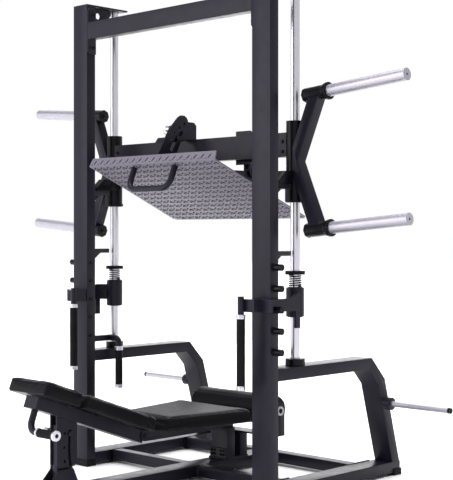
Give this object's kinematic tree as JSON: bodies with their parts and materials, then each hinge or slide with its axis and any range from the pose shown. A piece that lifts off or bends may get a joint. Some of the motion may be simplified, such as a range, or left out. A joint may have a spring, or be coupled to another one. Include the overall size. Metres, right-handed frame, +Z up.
{
  "type": "plate-loaded vertical leg press",
  "caption": "Plate-loaded leg press: tilting foot platform on a carriage that rides vertical guide rods over an adjustable bench, with rest hooks and sprung safety stops.",
  "frame": {"origin": "floor level, under the middle of the bounding box", "axes": "+Z up; -Y is the head end of the bench; +X is the side of the backrest lever"},
  "size_m": [2.3406, 1.6384, 2.176],
  "materials": {
    "frame_coat": "charcoal powder coat, satin",
    "black_coat": "black powder coat",
    "chromed_steel": "polished chrome",
    "spring_steel": "zinc-plated steel",
    "bushing_plastic": "black plain-bearing plastic",
    "upholstery": "matte black synthetic leather over foam",
    "grip_rubber": "matte black moulded rubber",
    "black_rubber": "matte black rubber",
    "tread_plate": "light grey diamond tread plate"
  },
  "bodies": {
    "frame": {"upright_left": "frame_coat", "upright_right": "frame_coat", "crossbar": "frame_coat", "top_plates": "frame_coat", "guide_rod_left": "chromed_steel", "guide_rod_right": "chromed_steel", "rod_collars": "black_coat", "side_frame_left": "frame_coat", "side_frame_right": "frame_coat", "base_rail_left": "frame_coat", "base_rail_right": "frame_coat", "cross_tube_front": "frame_coat", "cross_tube_rear": "frame_coat", "centre_beam": "frame_coat", "height_pegs": "black_coat", "storage_pegs": "chromed_steel", "rubber_feet": "black_rubber", "seat_posts": "frame_coat", "seat_beam": "frame_coat", "seat_pad": "upholstery", "roller_bracket": "frame_coat", "roller_axle": "chromed_steel", "hand_grip_arms": "frame_coat", "hand_grips": "grip_rubber", "backrest_post": "frame_coat", "pivot_pin": "black_coat", "frame_bolts": "black_coat"},
    "carriage": {"sleeve_left": "black_coat", "sleeve_right": "black_coat", "bushings": "bushing_plastic", "carriage_beam": "frame_coat", "weight_arm_left": "frame_coat", "weight_arm_right": "frame_coat", "weight_horns": "chromed_steel", "horn_caps": "chromed_steel", "platform_hinge_pins": "chromed_steel"},
    "platform": {"foot_plate": "tread_plate", "platform_brackets": "frame_coat", "platform_handle": "frame_coat", "tilt_sector": "frame_coat"},
    "tilt_pin": {"tilt_pull_pin": "spring_steel"},
    "hook_left": {"rest_hook_left": "black_coat"},
    "hook_right": {"rest_hook_right": "black_coat"},
    "stop_left": {"stop_liner_left": "bushing_plastic", "stop_spring_left": "black_coat"},
    "stop_right": {"stop_liner_right": "bushing_plastic", "stop_spring_right": "black_coat"},
    "stop_arm_left": {"stop_bracket_left": "frame_coat", "stop_grip_left": "grip_rubber"},
    "stop_arm_right": {"stop_bracket_right": "frame_coat", "stop_grip_right": "grip_rubber"},
    "bumper_left": {"stop_bumper_left": "black_rubber"},
    "bumper_right": {"stop_bumper_right": "black_rubber"},
    "backrest": {"backrest_beam": "frame_coat", "head_pad": "upholstery", "back_pad": "upholstery", "lever_handle": "frame_coat", "lever_grip": "grip_rubber"},
    "backrest_pin": {"backrest_pull_pin": "spring_steel"},
    "roller": {"hip_roller": "upholstery"}
  },
  "joints": [
    {"name": "carriage_slide", "type": "slide", "parent": "frame", "child": "carriage", "axis": [0, 0, 1], "range_m": [0, 0.45]},
    {"name": "platform_tilt", "type": "hinge", "parent": "carriage", "child": "platform", "pos_m": [0, 0.22025, 1.37], "axis": [1, 0, 0], "range_deg": [-16.4, 8.2]},
    {"name": "tilt_pin_pull", "type": "slide", "parent": "carriage", "child": "tilt_pin", "axis": [1, 0, 0], "range_m": [0, 0.01]},
    {"name": "rest_hook_left", "type": "hinge", "parent": "carriage", "child": "hook_left", "pos_m": [-0.5783, 0.14255, 1.244], "axis": [0, 0, 1], "range_deg": [0, 90]},
    {"name": "stop_lift_left", "type": "slide", "parent": "frame", "child": "stop_left", "axis": [0, 0, 1], "range_m": [0, 0.025]},
    {"name": "stop_swing_left", "type": "hinge", "parent": "stop_left", "child": "stop_arm_left", "pos_m": [-0.5783, 0.14255, 0.81], "axis": [0, 0, -1], "range_deg": [0, 100]},
    {"name": "bumper_left", "type": "slide", "parent": "stop_left", "child": "bumper_left", "axis": [0, 0, 1], "range_m": [-0.03, 0], "stiffness_N_per_m": 5000, "deforming": ["stop_spring_left"]},
    {"name": "rest_hook_right", "type": "hinge", "parent": "carriage", "child": "hook_right", "pos_m": [0.5783, 0.14255, 1.244], "axis": [0, 0, -1], "range_deg": [0, 90]},
    {"name": "stop_lift_right", "type": "slide", "parent": "frame", "child": "stop_right", "axis": [0, 0, 1], "range_m": [0, 0.025]},
    {"name": "stop_swing_right", "type": "hinge", "parent": "stop_right", "child": "stop_arm_right", "pos_m": [0.5783, 0.14255, 0.81], "axis": [0, 0, 1], "range_deg": [0, 100]},
    {"name": "bumper_right", "type": "slide", "parent": "stop_right", "child": "bumper_right", "axis": [0, 0, 1], "range_m": [-0.03, 0], "stiffness_N_per_m": 5000, "deforming": ["stop_spring_right"]},
    {"name": "backrest_tilt", "type": "hinge", "parent": "frame", "child": "backrest", "pos_m": [0, -0.21975, 0.23], "axis": [-1, 0, 0], "range_deg": [0, 15.5]},
    {"name": "backrest_pin_pull", "type": "slide", "parent": "frame", "child": "backrest_pin", "axis": [1, 0, 0], "range_m": [0, 0.01]},
    {"name": "hip_roller_spin", "type": "hinge", "parent": "frame", "child": "roller", "pos_m": [0, 0.39825, 0.294], "axis": [1, 0, 0], "continuous": true}
  ]
}
